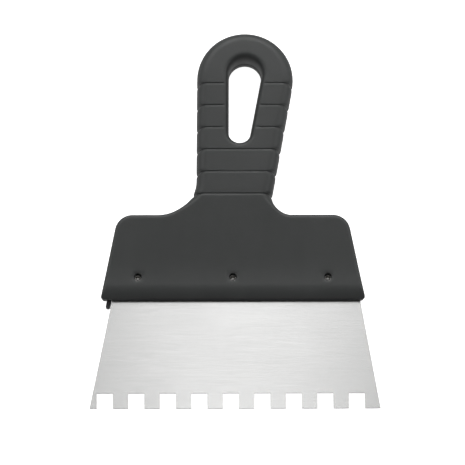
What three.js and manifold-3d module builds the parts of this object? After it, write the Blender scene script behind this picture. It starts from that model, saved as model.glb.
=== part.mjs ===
// Notched trowel, 150 mm class: a stainless blade with nine square notches, clamped by three tubular rivets
// between the front and rear shells of a moulded grip with a finger hole.
//
// Units are millimetres. The tool lies on its back: X runs along the blade edge, Y from the teeth towards the
// grip loop, and Z is up, out of the front face. Shapes are drawn with X = 0 on the middle of the handle body
// and Y = 0 on the tips of the teeth, and the finished group is moved so that the origin is under its centre.

import * as THREE from 'three';
import { mergeVertices } from 'three/addons/utils/BufferGeometryUtils.js';
import Module from 'manifold-3d';

// ---- driving dimensions -------------------------------------------------------------------------------------

// Clearances between pieces.
const GAP = 0.3;                    // between any two pieces that touch
const SEAM = 0.3;                   // between the two shells

// Blade.
const BLADE_THICKNESS = 0.8;
const LEFT_TOOTH = 3.8;             // width of the end tooth beside the first notch
const RIGHT_TOOTH = 8.1;            // width of the end tooth beside the last notch
const BLADE_LEFT_LEAN = 11.25;      // degrees that the left edge leans in
const BLADE_RIGHT_LEAN = 9.5;       // degrees that the right edge leans in
const BLADE_VISIBLE = 56.7;         // from the tips to the handle
const NOTCH_COUNT = 9;
const NOTCH_WIDTH = 8;
const NOTCH_DEPTH = 8;
const NOTCH_PITCH = 16;
const NOTCH_MIDDLE = -1.35;         // X of the middle notch
const TANG_DEPTH = 33;              // how far the blade reaches into the handle
const TANG_NECK = 4;                // full width continues this far inside the handle
const TANG_PAST_RIVET = 4.4;        // how far it goes on beyond the axes of the outer rivets
const TANG_CHAMFER = 5;

// Handle body.
const BODY_LENGTH = 44.2;           // from the lower lip to the shoulders
const BODY_SIDE = 2.488;            // from the blade's edge, or the guide finger, to the side, at the lower lip
const BODY_LEAN = 11.4;             // degrees that the body's sides lean in
const BODY_CORNER = 2;              // plan radius of the lower corners
const SHOULDER_CORNER = 9;          // plan radius of the shoulders
const LIP_FRONT = 9.2;              // height of the front face at the lower lip
const LIP_SLOPE = 6.5;              // length of the slope down to the lip
const BODY_FRONT = 11;              // height of the front face above that slope, where it is level
const BODY_LEVEL = 14;              // where it starts to rise, above the lip
const BODY_EDGE = 2.4;              // width of the rounding along the body's front edge
const BODY_EDGE_DROP = 1.9;         // height of that rounding
const LIP_EDGE = 0.7;               // rounding along the lip
const BODY_BACK_EDGE = 1.5;         // rounding along the body's back edge
const BACK_SETBACK = 1.5;           // how far the rear shell's lip stops short of the front shell's

// Grip.
const PARTING = 5.5;                // height of the plane between the shells, and of the blade's middle
const NECK_FRONT = 14.5;            // height of the front face at the top of the neck
const GRIP_FRONT = 16.3;            // height of the grip's front face at the loop
const GRIP_EDGE = 5.5;              // width of the rounding along the grip's front edge
const GRIP_EDGE_DROP = 8;           // height of that rounding
const GRIP_BACK_EDGE = 4;           // rounding along the grip's back edge
const LOOP_RADIUS = 24.9;
const LOOP_CENTRE_X = 6.9;
const LOOP_CENTRE_ABOVE_BODY = 73.9;
const GRIP_LEFT_LEAN = 0.5;         // degrees clockwise from +Y of the grip's left side
const GRIP_RIGHT_LEAN = 10.55;      // degrees clockwise from +Y of the grip's right side
const NECK_LEFT_RADIUS = 20;        // hollow curve from the grip's left side to the shoulder
const NECK_RIGHT_RADIUS = 10;       // hollow curve from the grip's right side to the shoulder
const NECK_RISE = 11;               // from the shoulders to the top of the neck
const GROOVE_COUNT = 6;
const GROOVE_PITCH = 11.87;
const LOWEST_GROOVE_ABOVE_BODY = 10.9;
const GROOVE_DEPTH = 0.85;
const GROOVE_STEEP = 0.8;           // length of the groove's upper flank
const GROOVE_SHALLOW = 2;           // length of its lower flank

// Finger hole: two round ends joined by straight sides.
const HOLE_TOP_RADIUS = 8.4;
const HOLE_TOP_X = 6.95;
const HOLE_TOP_ABOVE_LOOP_CENTRE = 1.9;
const HOLE_LENGTH = 31.3;           // between the centres of its ends
const HOLE_LEAN = 5.65;             // degrees clockwise from +Y of its axis
const HOLE_TAPER = 5.25;            // degrees between each side and the axis
const HOLE_FLARE = 3;               // width of the rounding at its front rim
const HOLE_FLARE_DROP = 10;
const HOLE_BACK_EDGE = 1.5;

// Shell walls and inner structure.
const WALL = 2.2;
const RIB = 1.4;
const BODY_RIB_XS = [-32, -16, 16, 32];
const BODY_RIB_ABOVE_LIP = 27;      // the cross rib over the tang
const GRIP_RIB_COUNT = 4;           // cross ribs, each under a groove, counted from the lowest
const PIN_RADIUS = 1.5;
const SOCKET_WALL = 1.7;
const PIN_REACH = 3.2;              // how far a locating pin stands above the parting plane
const SHOULDER_PIN_X = 38;
const SHOULDER_PIN_BELOW_TOP = 6.8;
const LOOP_PIN_IN = 7.4;            // from the top of the loop to its locating pin
const NECK_PIN_ABOVE_BODY = 20;

// Rivets.
const RIVET_SPACING = 48.6;
const RIVET_ABOVE_LIP = 11.4;
const RECESS_RADIUS = 1.9;          // visible hole in each face
const FRONT_WEB = 1.6;              // plastic between the blade's pocket and the seat of the rivet's head
const BACK_WEB = 2.1;               // plastic between the pocket and the seat of its rolled end
const SHANK_RADIUS = 1.1;
const RIVET_BORE_RADIUS = 0.65;
const FLANGE_THICKNESS = 0.6;
const BOSS_WALL = 1.6;

// Guide finger of the rear shell, beside the blade's left edge.
const FINGER_WIDTH = 2.1;
const FINGER_LENGTH = 3.5;          // below the front shell's lip
const FINGER_THICKNESS = 3;

// Mesh fineness: points in each arc.
const CORNER_STEPS = 3;
const SHOULDER_STEPS = 6;
const NECK_STEPS = 5;
const LOOP_STEPS = 11;
const HOLE_END_STEPS = 8;
const ROUND_STEPS = 24;
const SMALLEST_RADIUS = 0.2;
const OVERSHOOT = 1;                // how far a cutter passes the surface that it cuts

// ---- worked out from the driving dimensions -----------------------------------------------------------------

const NOTCH_REACH = (NOTCH_COUNT - 1) / 2 * NOTCH_PITCH + NOTCH_WIDTH / 2;
const BLADE_LEFT = NOTCH_REACH - NOTCH_MIDDLE + LEFT_TOOTH;    // tip corner, left of the middle of the handle
const BLADE_RIGHT = NOTCH_REACH + NOTCH_MIDDLE + RIGHT_TOOTH;  // tip corner, right of the middle of the handle
const LIP_Y = BLADE_VISIBLE;
const BACK_LIP_Y = LIP_Y + BACK_SETBACK;
const SHOULDER_Y = LIP_Y + BODY_LENGTH;
const LOOP_Y = SHOULDER_Y + LOOP_CENTRE_ABOVE_BODY;
const TOTAL_LENGTH = LOOP_Y + LOOP_RADIUS;
const TANG_TOP = LIP_Y + TANG_DEPTH;
const RIVET_Y = LIP_Y + RIVET_ABOVE_LIP;
const TANG_HALF_WIDTH = RIVET_SPACING + TANG_PAST_RIVET;
const BODY_HALF_WIDTH = Math.max(
  bladeEdge(BLADE_LEFT, -1, LIP_Y) + GAP + FINGER_WIDTH + BODY_SIDE,
  bladeEdge(BLADE_RIGHT, 1, LIP_Y) + BODY_SIDE,
  TANG_HALF_WIDTH + GAP + WALL + (TANG_DEPTH - TANG_CHAMFER) * Math.tan(THREE.MathUtils.degToRad(BODY_LEAN)),
);
const RIVET_XS = { rivet_left: -RIVET_SPACING, rivet_middle: 0, rivet_right: RIVET_SPACING };
const GROOVE_YS = Array.from(
  { length: GROOVE_COUNT },
  (_, i) => SHOULDER_Y + LOWEST_GROOVE_ABOVE_BODY + i * GROOVE_PITCH,
);
const GRIP_RIB_YS = GROOVE_YS.slice(0, GRIP_RIB_COUNT).map((y) => y + GROOVE_PITCH / 2);
const FRONT_SHELL_BOTTOM = PARTING + SEAM / 2;
const REAR_SHELL_TOP = PARTING - SEAM / 2;
const BLADE_TOP = PARTING + BLADE_THICKNESS / 2;
const BLADE_BOTTOM = PARTING - BLADE_THICKNESS / 2;
const FACE = [                      // the front face's height along Y, before its edges are rounded
  [LIP_Y, LIP_FRONT],
  [LIP_Y + LIP_SLOPE, BODY_FRONT],
  [LIP_Y + BODY_LEVEL, BODY_FRONT],
  [SHOULDER_Y + NECK_RISE, NECK_FRONT],
  [LOOP_Y, GRIP_FRONT],
  [TOTAL_LENGTH, GRIP_FRONT],
];
const BODY_STATIONS = [LIP_Y + LIP_SLOPE + BACK_SETBACK, LIP_Y + BODY_LEVEL];
const INSETS = [0, 0.06, 0.2, 0.4, 0.7, 1].map((share) => share * Math.max(GRIP_EDGE, BODY_EDGE));
const SIDES = {
  left: { sign: -1, lean: THREE.MathUtils.degToRad(GRIP_LEFT_LEAN), neck: NECK_LEFT_RADIUS },
  right: { sign: 1, lean: THREE.MathUtils.degToRad(GRIP_RIGHT_LEAN), neck: NECK_RIGHT_RADIUS },
};

// ---- solids -------------------------------------------------------------------------------------------------

const wasm = await Module();
wasm.setup();

function toSolid(geometry) {
  const plain = geometry.clone();
  plain.deleteAttribute('normal');
  plain.deleteAttribute('uv');
  const merged = mergeVertices(plain);
  return new wasm.Manifold(new wasm.Mesh({
    numProp: 3,
    vertProperties: Float32Array.from(merged.attributes.position.array),
    triVerts: Uint32Array.from(merged.index.array),
  }));
}

function toGeometry(solid) {
  const mesh = solid.getMesh();
  const geometry = new THREE.BufferGeometry();
  geometry.setAttribute('position', new THREE.BufferAttribute(mesh.vertProperties, 3));
  geometry.setIndex(new THREE.BufferAttribute(mesh.triVerts, 1));
  return geometry;
}

function joined(solids) {
  return solids.reduce((sum, solid) => sum.add(solid));
}

function box(xMin, xMax, yMin, yMax, zMin, zMax) {
  const geometry = new THREE.BoxGeometry(xMax - xMin, yMax - yMin, zMax - zMin);
  geometry.translate((xMin + xMax) / 2, (yMin + yMax) / 2, (zMin + zMax) / 2);
  return toSolid(geometry);
}

function upright(radius, x, y, zMin, zMax) {
  const geometry = new THREE.CylinderGeometry(radius, radius, zMax - zMin, ROUND_STEPS);
  geometry.rotateX(Math.PI / 2);
  geometry.translate(x, y, (zMin + zMax) / 2);
  return toSolid(geometry);
}

function plate(points, zMin, zMax) {
  const shape = new THREE.Shape(points.map(([x, y]) => new THREE.Vector2(x, y)));
  const geometry = new THREE.ExtrudeGeometry(shape, { depth: zMax - zMin, bevelEnabled: false });
  geometry.translate(0, 0, zMin);
  return toSolid(geometry);
}

// A solid through a stack of rings, lowest first. Each ring has a right and a left chain of [x, y, z] points of
// the same length, both from the lower end of the outline to the upper end.
function stacked(rings) {
  const half = rings[0].right.length;
  const count = 2 * half;
  const positions = rings.flatMap(({ right, left }) => [...right, ...left.toReversed()]).flat();
  const index = [];
  const quad = (a, b, c, d) => index.push(a, b, c, a, c, d);
  for (let ring = 0; ring < rings.length - 1; ring += 1) {
    for (let i = 0; i < count; i += 1) {
      const lower = ring * count;
      const next = (i + 1) % count;
      quad(lower + i, lower + next, lower + count + next, lower + count + i);
    }
  }
  const top = (rings.length - 1) * count;
  for (let i = 0; i < half - 1; i += 1) {
    const across = count - 1 - i;
    quad(across, across - 1, i + 1, i);
    quad(top + i, top + i + 1, top + across - 1, top + across);
  }
  const geometry = new THREE.BufferGeometry();
  geometry.setAttribute('position', new THREE.Float32BufferAttribute(positions, 3));
  geometry.setIndex(index);
  return toSolid(geometry);
}

// ---- outline of the handle ----------------------------------------------------------------------------------

const radians = THREE.MathUtils.degToRad;
const bodyLean = radians(BODY_LEAN);

// X of the grip's side at a height Y: hollow neck curve, straight side, then the loop.
function gripX({ sign, lean, neck }, y, inset) {
  const lineX = LOOP_CENTRE_X + sign * (LOOP_RADIUS - inset) / Math.cos(lean) + (y - LOOP_Y) * Math.tan(lean);
  const neckY = SHOULDER_Y + neck;
  const neckX = neckCentreX({ sign, lean, neck });
  const neckTop = neckY + sign * (neck + inset) * Math.sin(lean);
  const loopStart = LOOP_Y - sign * (LOOP_RADIUS - inset) * Math.sin(lean);
  if (y < neckTop) {
    return neckX - sign * Math.sqrt((neck + inset) ** 2 - (y - neckY) ** 2);
  }
  if (y > loopStart) {
    return LOOP_CENTRE_X + sign * Math.sqrt((LOOP_RADIUS - inset) ** 2 - (y - LOOP_Y) ** 2);
  }
  return lineX;
}

function neckCentreX({ sign, lean, neck }) {
  const alongSide = (SHOULDER_Y + neck - LOOP_Y) * Math.tan(lean);
  return LOOP_CENTRE_X + alongSide + sign * (LOOP_RADIUS + neck) / Math.cos(lean);
}

function bodyX(sign, y, inset) {
  return sign * (BODY_HALF_WIDTH - (y - LIP_Y) * Math.tan(bodyLean) - inset / Math.cos(bodyLean));
}

function grooveDepth(y) {
  const depths = GROOVE_YS.map((groove) => {
    const flank = y > groove ? GROOVE_STEEP : GROOVE_SHALLOW;
    return GROOVE_DEPTH * Math.max(0, 1 - Math.abs(y - groove) / flank);
  });
  return Math.max(...depths);
}

// Heights Y at which both grip sides have a point.
function gripStations(grooved) {
  const first = SHOULDER_Y + 2;
  const stations = [first, first + 2.6];
  GROOVE_YS.forEach((groove) => {
    stations.push(groove - GROOVE_SHALLOW - 0.01);
    if (grooved) {
      stations.push(groove);
    }
    stations.push(groove + GROOVE_STEEP + 0.01);
  });
  stations.push(SHOULDER_Y + NECK_RISE + 1);
  return stations.filter((y) => y < LOOP_Y - 0.5).concat(LOOP_Y).toSorted((a, b) => a - b);
}

// One side of the handle's outline, drawn in by an inset, as { x, y, edge } points. The edge says which
// rounding the point has: 0 on the lip, 1 on the body, rising to 2 on the grip.
function handleChain(side, lipY, inset, grooved) {
  const { sign, neck } = side;
  const points = [];
  const corner = Math.max(BODY_CORNER - inset, SMALLEST_RADIUS);
  const cornerY = lipY + inset + corner;
  const cornerX = bodyX(sign, cornerY, inset + corner);
  for (let i = 0; i <= CORNER_STEPS; i += 1) {
    const angle = THREE.MathUtils.lerp(-Math.PI / 2, bodyLean, i / CORNER_STEPS);
    points.push({ x: cornerX + sign * corner * Math.cos(angle), y: cornerY + corner * Math.sin(angle), edge: 0 });
  }
  const shoulder = Math.max(SHOULDER_CORNER - inset, SMALLEST_RADIUS);
  const shoulderY = SHOULDER_Y - inset - shoulder;
  const shoulderX = bodyX(sign, shoulderY, inset + shoulder);
  BODY_STATIONS.forEach((y) => {
    points.push({ x: bodyX(sign, y, inset), y, edge: 1 });
  });
  for (let i = 0; i <= SHOULDER_STEPS; i += 1) {
    const angle = THREE.MathUtils.lerp(bodyLean, Math.PI / 2, i / SHOULDER_STEPS);
    points.push({
      x: shoulderX + sign * shoulder * Math.cos(angle),
      y: shoulderY + shoulder * Math.sin(angle),
      edge: 1,
    });
  }
  const stations = gripStations(grooved);
  const neckX = neckCentreX(side);
  const neckY = SHOULDER_Y + neck;
  const last = Math.asin((neckY - stations[0]) / (neck + inset));
  for (let i = 0; i < NECK_STEPS; i += 1) {
    const angle = THREE.MathUtils.lerp(Math.PI / 2, last, i / NECK_STEPS);
    const x = neckX - sign * (neck + inset) * Math.cos(angle);
    points.push({ x, y: neckY - (neck + inset) * Math.sin(angle), edge: 1 });
  }
  stations.forEach((y) => {
    const edge = 1 + THREE.MathUtils.smoothstep(y, stations[0], SHOULDER_Y + NECK_RISE);
    points.push({ x: gripX(side, y, inset + (grooved ? grooveDepth(y) : 0)), y, edge });
  });
  for (let i = 1; i <= LOOP_STEPS; i += 1) {
    const angle = (Math.PI / 2) * (i / (LOOP_STEPS + 0.3));
    const radius = LOOP_RADIUS - inset;
    points.push({ x: LOOP_CENTRE_X + sign * radius * Math.cos(angle), y: LOOP_Y + radius * Math.sin(angle), edge: 2 });
  }
  return points;
}

function handleRing(lipY, inset, grooved, heightAt) {
  const place = (point) => [point.x, point.y, heightAt(point)];
  return {
    right: handleChain(SIDES.right, lipY, inset, grooved).map(place),
    left: handleChain(SIDES.left, lipY, inset, grooved).map(place),
  };
}

// Height of the front face, before its edges are rounded.
function frontHeight(y, grooved) {
  const next = FACE.findIndex(([station]) => station >= y);
  const [low, lowHeight] = FACE[Math.max(next - 1, 0)];
  const [high, highHeight] = FACE[Math.max(next, 1)];
  const height = THREE.MathUtils.mapLinear(y, low, high, lowHeight, highHeight);
  return height - (grooved ? grooveDepth(y) : 0);
}

// How far a rounded edge has dropped at an inset from the outline.
function edgeDrop(inset, width, drop) {
  const out = Math.max(0, 1 - inset / width);
  return drop * (1 - Math.sqrt(1 - out * out));
}

function byEdge(edge, lip, body, grip) {
  return edge < 1 ? lip : THREE.MathUtils.lerp(body, grip, edge - 1);
}

function handleFront() {
  const wall = handleRing(LIP_Y, 0, true, () => FRONT_SHELL_BOTTOM);
  const rounding = INSETS.map((inset) => handleRing(LIP_Y, inset, true, ({ y, edge }) => {
    const width = byEdge(edge, LIP_EDGE, BODY_EDGE, GRIP_EDGE);
    const drop = byEdge(edge, LIP_EDGE, BODY_EDGE_DROP, GRIP_EDGE_DROP);
    return frontHeight(y, true) - edgeDrop(inset, width, drop);
  }));
  return stacked([wall, ...rounding]);
}

function handleBack() {
  const wall = handleRing(BACK_LIP_Y, 0, true, () => REAR_SHELL_TOP);
  const rounding = INSETS.map((inset) => handleRing(BACK_LIP_Y, inset, true, ({ edge }) => {
    const size = byEdge(edge, LIP_EDGE, BODY_BACK_EDGE, GRIP_BACK_EDGE);
    return edgeDrop(inset, size, size);
  }));
  return stacked([...rounding.toReversed(), wall]);
}

// ---- finger hole --------------------------------------------------------------------------------------------

function holeRing(offset, z) {
  const taper = radians(HOLE_TAPER);
  const lean = radians(HOLE_LEAN);
  const top = { x: HOLE_TOP_X, y: LOOP_Y + HOLE_TOP_ABOVE_LOOP_CENTRE, radius: HOLE_TOP_RADIUS + offset };
  const bottom = {
    x: top.x - HOLE_LENGTH * Math.sin(lean),
    y: top.y - HOLE_LENGTH * Math.cos(lean),
    radius: HOLE_TOP_RADIUS - HOLE_LENGTH * Math.sin(taper) + offset,
  };
  const chain = (sign) => {
    const turn = -(taper + sign * lean);
    const from = -Math.PI / 2;
    const arc = (end, start, stop, shift) => Array.from({ length: HOLE_END_STEPS }, (_, i) => {
      const angle = THREE.MathUtils.lerp(start, stop, (i + shift) / (HOLE_END_STEPS - 0.5));
      return [end.x + sign * end.radius * Math.cos(angle), end.y + end.radius * Math.sin(angle), z];
    });
    return [...arc(bottom, from, turn, 0.5), ...arc(top, turn, Math.PI / 2, 0)];
  };
  return { right: chain(1), left: chain(-1) };
}

// The air in the finger hole, or with a margin the wall around it too.
function holeCutter(margin) {
  const flare = [0, 0.35, 0.6, 0.8, 0.95, 1].map((share) => {
    const z = GRIP_FRONT - HOLE_FLARE_DROP * (1 - share);
    return holeRing(margin + HOLE_FLARE * (1 - Math.sqrt(1 - share * share)), z);
  });
  return stacked([
    holeRing(margin + HOLE_BACK_EDGE, -OVERSHOOT),
    holeRing(margin + HOLE_BACK_EDGE, 0),
    holeRing(margin + HOLE_BACK_EDGE * 0.3, HOLE_BACK_EDGE * 0.3),
    holeRing(margin, HOLE_BACK_EDGE),
    ...flare,
    holeRing(margin + HOLE_FLARE, GRIP_FRONT + OVERSHOOT),
  ]);
}

// ---- blade --------------------------------------------------------------------------------------------------

// Half of the blade's outline on one side, from the tip corner to the top of the tang, grown by a clearance.
function bladeSide(sign, margin) {
  const tip = sign < 0 ? BLADE_LEFT : BLADE_RIGHT;
  const neckTop = LIP_Y + TANG_NECK;
  const edge = (y) => sign * (bladeEdge(tip, sign, y) + margin);
  const half = TANG_HALF_WIDTH + margin;
  const stepY = neckTop + (half < bladeEdge(tip, sign, neckTop) ? margin : -margin);
  return [
    [edge(-margin), -margin],
    [edge(stepY), stepY],
    [sign * half, stepY],
    [sign * half, TANG_TOP + margin - TANG_CHAMFER],
    [sign * (half - TANG_CHAMFER), TANG_TOP + margin],
  ];
}

function bladeEdge(tip, sign, y) {
  return tip - y * Math.tan(THREE.MathUtils.degToRad(sign < 0 ? BLADE_LEFT_LEAN : BLADE_RIGHT_LEAN));
}

function bladeOutline(margin) {
  return [...bladeSide(1, margin), ...bladeSide(-1, margin).toReversed()];
}

function notches() {
  return Array.from({ length: NOTCH_COUNT }, (_, i) => {
    const middle = NOTCH_MIDDLE + (i - (NOTCH_COUNT - 1) / 2) * NOTCH_PITCH;
    return box(
      middle - NOTCH_WIDTH / 2, middle + NOTCH_WIDTH / 2, -OVERSHOOT, NOTCH_DEPTH,
      BLADE_BOTTOM - OVERSHOOT, BLADE_TOP + OVERSHOOT,
    );
  });
}

function makeBlade() {
  const rivetHoles = Object.values(RIVET_XS).map((x) => (
    upright(SHANK_RADIUS + GAP, x, RIVET_Y, BLADE_BOTTOM - OVERSHOOT, BLADE_TOP + OVERSHOOT)
  ));
  return plate(bladeOutline(0), BLADE_BOTTOM, BLADE_TOP)
    .subtract(joined(notches()))
    .subtract(joined(rivetHoles));
}

// ---- shells -------------------------------------------------------------------------------------------------

const SOCKET_RADIUS = PIN_RADIUS + GAP;
const BOSS_RADIUS = RECESS_RADIUS + BOSS_WALL;
const FRONT_SEAT = BLADE_TOP + GAP + FRONT_WEB;
const BACK_SEAT = BLADE_BOTTOM - GAP - BACK_WEB;

const neckPinY = SHOULDER_Y + NECK_PIN_ABOVE_BODY;
const PINS = [
  [-SHOULDER_PIN_X, SHOULDER_Y - SHOULDER_PIN_BELOW_TOP],
  [SHOULDER_PIN_X, SHOULDER_Y - SHOULDER_PIN_BELOW_TOP],
  [(gripX(SIDES.left, neckPinY, 0) + gripX(SIDES.right, neckPinY, 0)) / 2, neckPinY],
  [LOOP_CENTRE_X, TOTAL_LENGTH - LOOP_PIN_IN],
];

function ribs() {
  const zMin = -OVERSHOOT;
  const zMax = GRIP_FRONT + OVERSHOOT;
  const reach = BODY_HALF_WIDTH;
  const ribY = LIP_Y + BODY_RIB_ABOVE_LIP;
  const upDown = BODY_RIB_XS.map((x) => box(x - RIB / 2, x + RIB / 2, LIP_Y, SHOULDER_Y, zMin, zMax));
  const across = [ribY, ...GRIP_RIB_YS].map((y) => box(-reach, reach, y - RIB / 2, y + RIB / 2, zMin, zMax));
  return joined([...upDown, ...across]);
}

function rivetColumns(radius, zMin, zMax) {
  return joined(Object.values(RIVET_XS).map((x) => upright(radius, x, RIVET_Y, zMin, zMax)));
}

function pinColumns(radius, zMin, zMax) {
  return joined(PINS.map(([x, y]) => upright(radius, x, y, zMin, zMax)));
}

// What is solid inside both shells: the wall round the finger hole, the ribs and the rivet bosses.
function innerStructure() {
  const top = GRIP_FRONT + OVERSHOOT;
  return joined([holeCutter(WALL), ribs(), rivetColumns(BOSS_RADIUS, -OVERSHOOT, top)]);
}

function tangPocket() {
  return plate(bladeOutline(GAP), BLADE_BOTTOM - GAP, BLADE_TOP + GAP);
}

function makeFrontShell() {
  const floor = FRONT_SHELL_BOTTOM - OVERSHOOT;
  const inner = (inset, drop) => handleRing(LIP_Y, inset, false, ({ y }) => (
    Math.min(frontHeight(y - inset, false), frontHeight(y, false)) - GROOVE_DEPTH - drop
  ));
  const hollow = stacked([
    handleRing(LIP_Y, WALL, false, () => floor),
    inner(WALL, WALL + 3),
    inner(WALL + 1.5, WALL + 0.8),
    inner(WALL + 4, WALL),
  ]);
  const sockets = pinColumns(SOCKET_RADIUS + SOCKET_WALL, floor, GRIP_FRONT + OVERSHOOT);
  const cavity = hollow.subtract(innerStructure()).subtract(sockets);
  return handleFront()
    .subtract(cavity)
    .subtract(tangPocket())
    .subtract(holeCutter(0))
    .subtract(rivetColumns(RECESS_RADIUS, FRONT_SEAT, BODY_FRONT + OVERSHOOT))
    .subtract(rivetColumns(SHANK_RADIUS + GAP, floor, FRONT_SEAT + OVERSHOOT))
    .subtract(pinColumns(SOCKET_RADIUS, floor, PARTING + PIN_REACH + GAP));
}

function guideFinger() {
  const inner = (y) => -bladeEdge(BLADE_LEFT, -1, y) - GAP;
  const outer = (y) => inner(y) - FINGER_WIDTH;
  const top = BACK_LIP_Y + WALL;
  const end = LIP_Y - FINGER_LENGTH;
  const rounding = FINGER_WIDTH / 3;
  const points = [
    [outer(top), top],
    [outer(end + rounding), end + rounding],
    [outer(end) + rounding, end],
    [inner(end) - rounding, end],
    [inner(end + rounding), end + rounding],
    [inner(top), top],
  ];
  return plate(points, REAR_SHELL_TOP - FINGER_THICKNESS, REAR_SHELL_TOP);
}

function makeRearShell() {
  const ceiling = REAR_SHELL_TOP + OVERSHOOT;
  const hollow = stacked([
    handleRing(BACK_LIP_Y, WALL + 2.5, false, () => WALL),
    handleRing(BACK_LIP_Y, WALL, false, () => WALL + 1.2),
    handleRing(BACK_LIP_Y, WALL, false, () => ceiling),
  ]);
  const pinRoots = pinColumns(SOCKET_RADIUS + SOCKET_WALL, -OVERSHOOT, REAR_SHELL_TOP - GAP);
  const cavity = hollow.subtract(innerStructure()).subtract(pinRoots);
  return handleBack()
    .subtract(cavity)
    .add(guideFinger())
    .subtract(tangPocket())
    .subtract(holeCutter(0))
    .subtract(rivetColumns(RECESS_RADIUS, -OVERSHOOT, BACK_SEAT))
    .subtract(rivetColumns(SHANK_RADIUS + GAP, BACK_SEAT - OVERSHOOT, ceiling))
    .add(pinColumns(PIN_RADIUS, WALL / 2, PARTING + PIN_REACH));
}

// ---- rivets -------------------------------------------------------------------------------------------------

// A tubular rivet about its own axis, with its head and its rolled end clear of their seats by the gap.
function rivetGeometry() {
  const flange = RECESS_RADIUS - GAP;
  const headBottom = FRONT_SEAT + GAP;
  const headTop = headBottom + FLANGE_THICKNESS;
  const tailTop = BACK_SEAT - GAP;
  const tailBottom = tailTop - FLANGE_THICKNESS;
  const roll = FLANGE_THICKNESS / 3;
  const profile = [
    [RIVET_BORE_RADIUS, tailBottom + roll],
    [RIVET_BORE_RADIUS + roll, tailBottom],
    [flange - roll, tailBottom],
    [flange, tailBottom + roll],
    [flange, tailTop],
    [SHANK_RADIUS, tailTop],
    [SHANK_RADIUS, headBottom],
    [flange, headBottom],
    [flange, headTop - roll],
    [flange - roll, headTop],
    [RIVET_BORE_RADIUS + roll, headTop],
    [RIVET_BORE_RADIUS, headTop - roll],
    [RIVET_BORE_RADIUS, tailBottom + roll],
  ].map(([radius, z]) => new THREE.Vector2(radius, z));
  const geometry = new THREE.LatheGeometry(profile, ROUND_STEPS);
  geometry.rotateX(Math.PI / 2);
  return geometry;
}

// ---- the object ---------------------------------------------------------------------------------------------

function named(name, geometry, material) {
  const mesh = new THREE.Mesh(geometry, material);
  mesh.name = name;
  return mesh;
}

function blackPlastic() {
  return new THREE.MeshStandardMaterial({ color: 0x2c2e2e, roughness: 0.5, metalness: 0 });
}

const trowel = new THREE.Group();
trowel.position.set(-(BLADE_RIGHT - BLADE_LEFT) / 2, -TOTAL_LENGTH / 2, 0);

trowel.add(named('blade', toGeometry(makeBlade()), new THREE.MeshStandardMaterial({
  color: 0xd2d3d2,
  roughness: 0.32,
  metalness: 1,
})));
trowel.add(named('front_shell', toGeometry(makeFrontShell()), blackPlastic()));
trowel.add(named('rear_shell', toGeometry(makeRearShell()), blackPlastic()));

Object.entries(RIVET_XS).forEach(([name, x]) => {
  const rivet = named(name, rivetGeometry(), new THREE.MeshStandardMaterial({
    color: 0xc9c8c4,
    roughness: 0.3,
    metalness: 1,
  }));
  rivet.position.set(x, RIVET_Y, 0);
  trowel.add(rivet);
});

export default trowel;
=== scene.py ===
import math

import bmesh
import bpy
from mathutils import Matrix, Vector
from mathutils.geometry import delaunay_2d_cdt


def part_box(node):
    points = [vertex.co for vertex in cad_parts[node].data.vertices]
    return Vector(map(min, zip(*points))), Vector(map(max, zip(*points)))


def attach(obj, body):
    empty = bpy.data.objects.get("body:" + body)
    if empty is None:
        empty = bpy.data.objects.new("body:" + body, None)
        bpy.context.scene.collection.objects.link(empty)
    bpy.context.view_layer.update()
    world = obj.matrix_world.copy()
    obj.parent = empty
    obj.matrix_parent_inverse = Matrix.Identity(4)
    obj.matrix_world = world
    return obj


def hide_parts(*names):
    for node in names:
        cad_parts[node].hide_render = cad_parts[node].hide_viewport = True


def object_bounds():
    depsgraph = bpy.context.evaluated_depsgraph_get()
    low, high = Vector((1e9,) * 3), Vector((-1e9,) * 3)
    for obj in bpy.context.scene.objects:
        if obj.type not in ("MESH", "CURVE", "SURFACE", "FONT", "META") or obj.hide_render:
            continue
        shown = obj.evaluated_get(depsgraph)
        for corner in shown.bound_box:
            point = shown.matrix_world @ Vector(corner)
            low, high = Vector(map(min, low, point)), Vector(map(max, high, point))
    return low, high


# A notched trowel lying on its back. Shapes are drawn in millimetres, with X = 0 on the middle of the
# handle's body and Y = 0 on the tips of the teeth, and placed in the frame from the blade's own box.

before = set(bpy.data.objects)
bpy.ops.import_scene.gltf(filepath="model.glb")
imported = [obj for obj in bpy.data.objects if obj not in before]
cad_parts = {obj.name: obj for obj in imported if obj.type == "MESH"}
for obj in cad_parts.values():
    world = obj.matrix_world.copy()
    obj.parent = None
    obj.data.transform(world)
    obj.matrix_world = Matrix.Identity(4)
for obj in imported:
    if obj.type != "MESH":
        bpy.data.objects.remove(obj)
cad_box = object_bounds()
blade_low, blade_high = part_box("blade")
MM = 0.001

# ---- sizes shared with the CAD --------------------------------------------------------------------------

GAP = 0.3
SEAM = 0.3
BLADE_THICKNESS = 0.8
BLADE_LEFT, BLADE_RIGHT = 73.15, 74.75
BLADE_LEFT_LEAN, BLADE_RIGHT_LEAN = 11.25, 9.5
LIP_Y = 56.7
NOTCH_COUNT, NOTCH_WIDTH, NOTCH_DEPTH, NOTCH_PITCH, NOTCH_MIDDLE = 9, 8.0, 8.0, 16.0, -1.35
TANG_DEPTH, TANG_NECK, TANG_HALF_WIDTH, TANG_CHAMFER = 33.0, 4.0, 53.0, 5.0

BODY_LENGTH, BODY_HALF_WIDTH, BODY_LEAN = 44.2, 67.75, 11.4
SHOULDER_CORNER = 9.0
LIP_FRONT, BODY_FRONT, BODY_LEVEL = 9.2, 11.0, 14.0
BACK_SETBACK = 1.5

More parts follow.
